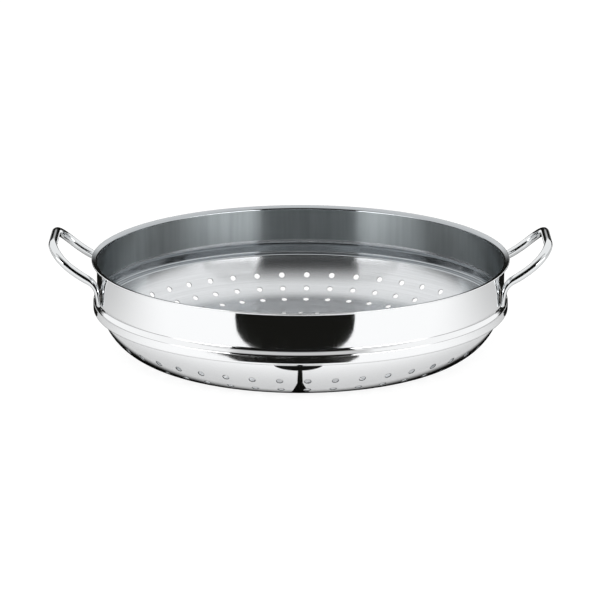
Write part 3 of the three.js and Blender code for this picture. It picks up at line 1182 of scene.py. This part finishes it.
def side_cards(stage, black):
    """Black flags, thin veils and grey strips, one of each on both sides."""
    veil_cloth = unlit_cloth("veil_cloth", stage.dark, UPWARDS, VEIL_FADE, VEIL_DEPTH)
    grey_cloth = unlit_cloth("grey_cloth", stage.dark, BACKWARDS, STRIP_FADE, STRIP_DEPTH)
    near, far = VEIL_EDGES
    cards = []
    for name, side in (("left", -1), ("right", 1)):
        flag = [(side * x * MM, y * MM, BLACK_LEVEL) for x, y in FLAG]
        veil = upright(side * near, side * far, -VEIL_HALF_HEIGHT, VEIL_HALF_HEIGHT)
        strip = [(side * x, y, STRIP_LEVEL) for x, y in STRIP]
        cards.append(flat_card(f"{name}_flag", flag, black))
        cards.append(flat_card(f"{name}_veil", veil, veil_cloth, VEIL_MIDDLE))
        cards.append(flat_card(f"{name}_shade", strip, grey_cloth, STRIP_MIDDLE))
    return cards


class STEAMER_OT_stage(bpy.types.Operator):
    """Set the floor, the light, the unlit sides of the studio and the camera"""

    bl_idname = "steamer.stage"
    bl_label = "Stage"

    def execute(self, context):
        scene = context.scene
        stage = scene.steamer_stage
        square = ((-1, -1), (1, -1), (1, 1), (-1, 1))
        corners = [(x * FLOOR_REACH, y * FLOOR_REACH, FLOOR_LEVEL) for x, y in square]
        flat_card("paper_floor", corners, pale_floor(stage))
        self.unlit(stage)
        self.light(scene, stage)
        self.camera(scene, stage)
        scene.view_settings.view_transform = "Standard"
        return {"FINISHED"}

    def unlit(self, stage):
        """Unlit sides of the studio and the insert's painted shadow, which only reflections show."""
        black = unlit_cloth("black_cloth", stage.dark, LEVEL_AXES, NO_FADE)
        cards = [
            *front_gaps(black),
            *standing_cards(stage),
            *painted_shadow_discs(stage),
            *side_cards(stage, black),
        ]
        for card in cards:
            card.visible_camera = False
            card.visible_diffuse = False
            card.visible_shadow = False
            card.visible_transmission = False

    def light(self, scene, stage):
        """A light tent: bright overhead and beside the camera, dimmer at the sides and behind."""
        world = bpy.data.worlds.new("light_tent")
        world.use_nodes = True
        tree = world.node_tree
        tree.nodes.clear()
        way = add_node(tree, "TexCoord").outputs["Generated"]
        level = add_node(
            tree, "VectorMath", {0: way, 1: LEVEL_AXES}, operation="MULTIPLY"
        ).outputs["Vector"]
        bearing = add_node(tree, "VectorMath", {0: level}, operation="NORMALIZE").outputs["Vector"]
        ahead = add_node(
            tree, "VectorMath", {0: bearing, 1: (0, -1, 0)}, operation="DOT_PRODUCT"
        ).outputs["Value"]
        sides = add_node(
            tree,
            "MapRange",
            {
                "Value": ahead,
                "From Min": TENT_FRONT[0],
                "From Max": TENT_FRONT[1],
                "To Min": stage.side_light,
                "To Max": stage.front_light,
            },
            interpolation_type="SMOOTHSTEP",
        ).outputs["Result"]
        rise = add_node(tree, "SeparateXYZ", {0: way}).outputs["Z"]
        above = add_node(
            tree,
            "MapRange",
            {"Value": rise, "From Min": TENT_ROOF[0], "From Max": TENT_ROOF[1]},
            interpolation_type="SMOOTHSTEP",
        ).outputs["Result"]
        strength = add_node(
            tree, "Mix", {"Factor": above, "A": sides, "B": stage.top_light}
        ).outputs["Result"]
        glow = add_node(tree, "Background", {"Color": (1, 1, 1, 1), "Strength": strength})
        output = add_node(tree, "OutputWorld")
        tree.links.new(glow.outputs["Background"], output.inputs["Surface"])
        scene.world = world

    def camera(self, scene, stage):
        """The photograph's view: long lens, a little above the rim."""
        data = bpy.data.cameras.new("photo_camera")
        data.lens = stage.lens
        data.sensor_width = stage.sensor
        data.clip_end = VIEW_END
        eye = bpy.data.objects.new("photo_camera", data)
        aim = Vector((stage.aim_side, 0, stage.aim_height))
        back = Vector((0, -math.cos(stage.camera_rise), math.sin(stage.camera_rise)))
        eye.location = aim + stage.camera_distance * back
        eye.rotation_euler = (QUARTER - stage.camera_rise, 0, 0)
        scene.collection.objects.link(eye)
        scene.camera = eye


class STEAMER_PT_panel(bpy.types.Panel):
    """Lists the steps that build the insert"""

    bl_idname = "STEAMER_PT_panel"
    bl_label = "Steamer Insert"
    bl_space_type = "VIEW_3D"
    bl_region_type = "UI"
    bl_category = "Steamer"

    def draw(self, context):
        """A button for each step, then the settings."""
        for operator in OPERATORS:
            self.layout.operator(operator.bl_idname)
        for group in GROUPS:
            settings = getattr(context.scene, group)
            box = self.layout.box()
            for field in settings.bl_rna.properties.keys():
                if field not in {"rna_type", "name"}:
                    box.prop(settings, field)


OPERATORS = (STEAMER_OT_shell, STEAMER_OT_handles, STEAMER_OT_welds, STEAMER_OT_stage)
GROUPS = {
    "steamer_shell": ShellSizes,
    "steamer_handle": HandleSizes,
    "steamer_colours": FinishColours,
    "steamer_stage": StageSettings,
}


def register():
    """Registers the settings, the operators and the panel."""
    for name, group in GROUPS.items():
        bpy.utils.register_class(group)
        setattr(bpy.types.Scene, name, PointerProperty(type=group))
    for operator in OPERATORS:
        bpy.utils.register_class(operator)
    bpy.utils.register_class(STEAMER_PT_panel)


def unregister():
    """Takes everything out again in the other order."""
    bpy.utils.unregister_class(STEAMER_PT_panel)
    for operator in reversed(OPERATORS):
        bpy.utils.unregister_class(operator)
    for name, group in GROUPS.items():
        delattr(bpy.types.Scene, name)
        bpy.utils.unregister_class(group)


def main():
    """Builds the insert and its stage."""
    register()
    bpy.ops.steamer.shell()
    bpy.ops.steamer.handles()
    bpy.ops.steamer.welds()
    bpy.ops.steamer.stage()


if __name__ == "__main__":
    main()
